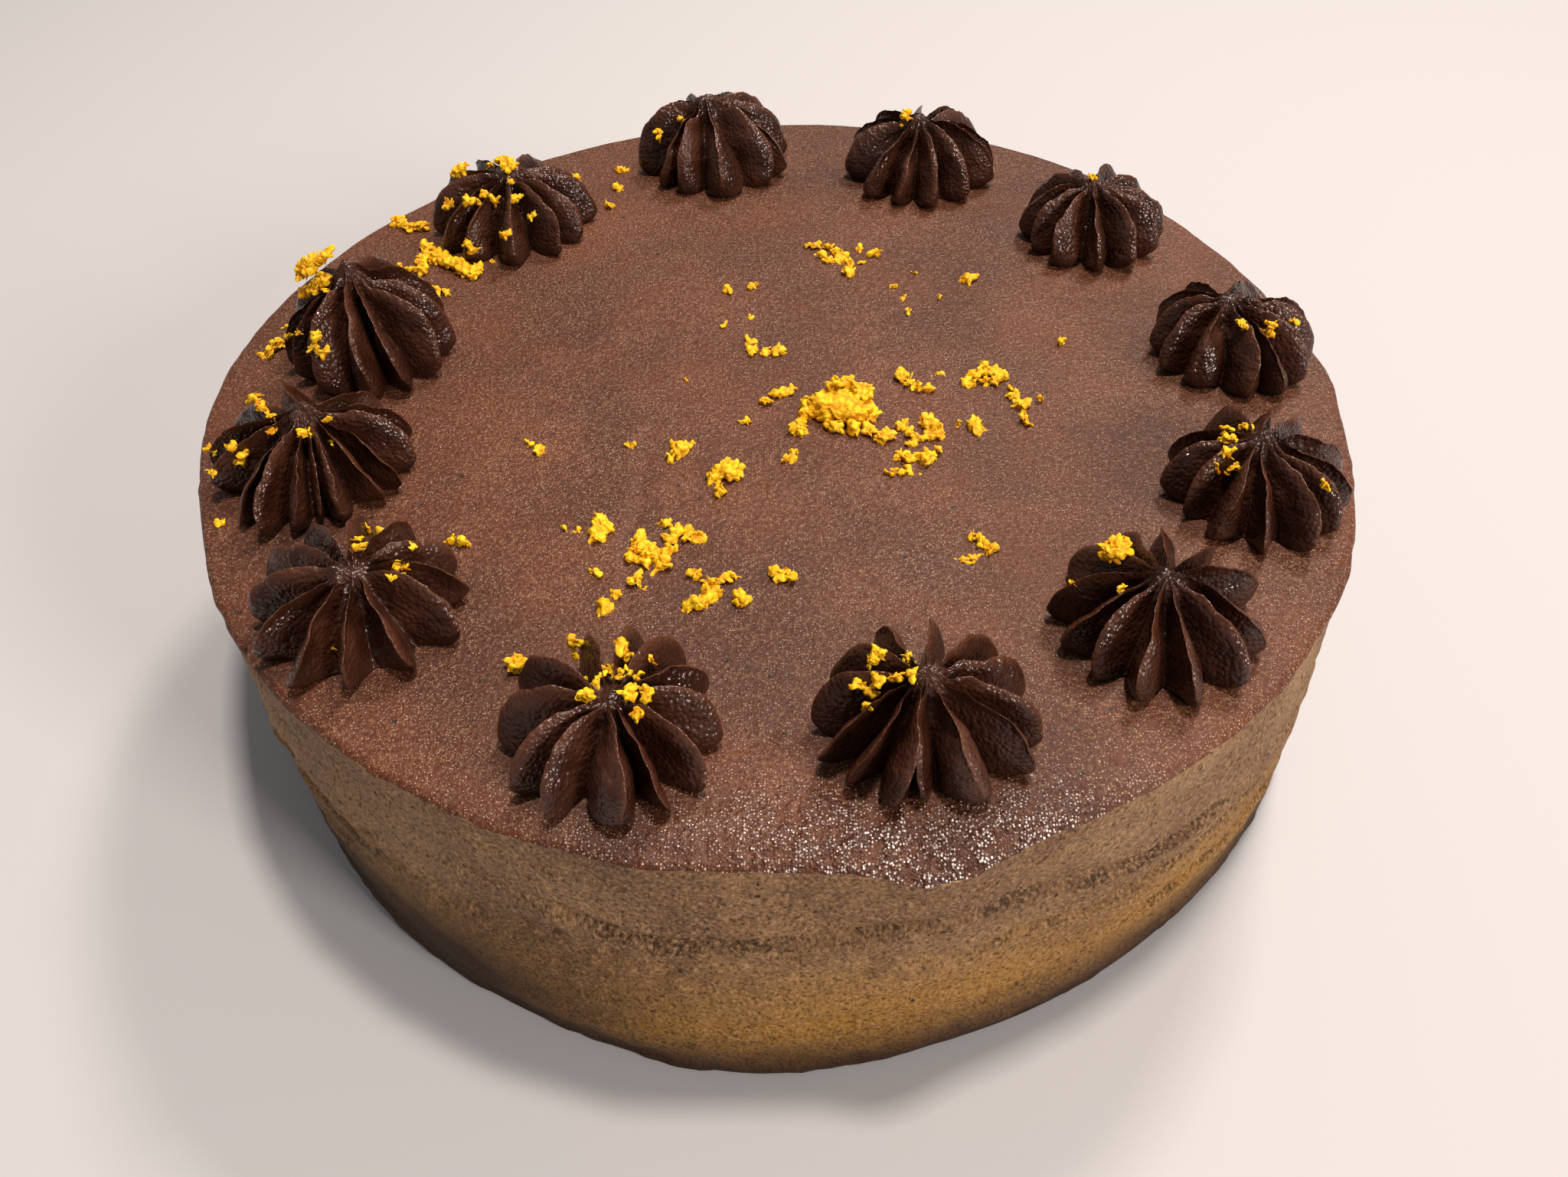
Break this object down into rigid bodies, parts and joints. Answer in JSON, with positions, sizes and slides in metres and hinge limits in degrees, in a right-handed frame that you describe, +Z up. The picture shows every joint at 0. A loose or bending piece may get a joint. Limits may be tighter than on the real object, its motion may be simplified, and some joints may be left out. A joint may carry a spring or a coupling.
{
  "type": "chocolate orange cake",
  "caption": "Round cake under smooth chocolate frosting, with a ring of piped star rosettes on top and grated orange zest scattered over it.",
  "frame": {"origin": "centre of the cake's flat foot, on the surface it stands on", "axes": "+Z up along the cake's axis; -Y faces the camera of the picture, so the zest heap lies to the right of the middle"},
  "size_m": [0.2019, 0.2021, 0.0781],
  "materials": {
    "frosting": "satin",
    "piping": "satin",
    "zest": "matte"
  },
  "bodies": {
    "root": {"frosted_cake": "frosting", "rosette_01": "piping", "rosette_02": "piping", "rosette_03": "piping", "rosette_04": "piping", "rosette_05": "piping", "rosette_06": "piping", "rosette_07": "piping", "rosette_08": "piping", "rosette_09": "piping", "rosette_10": "piping", "rosette_11": "piping", "rosette_12": "piping"}
  },
  "joints": []
}
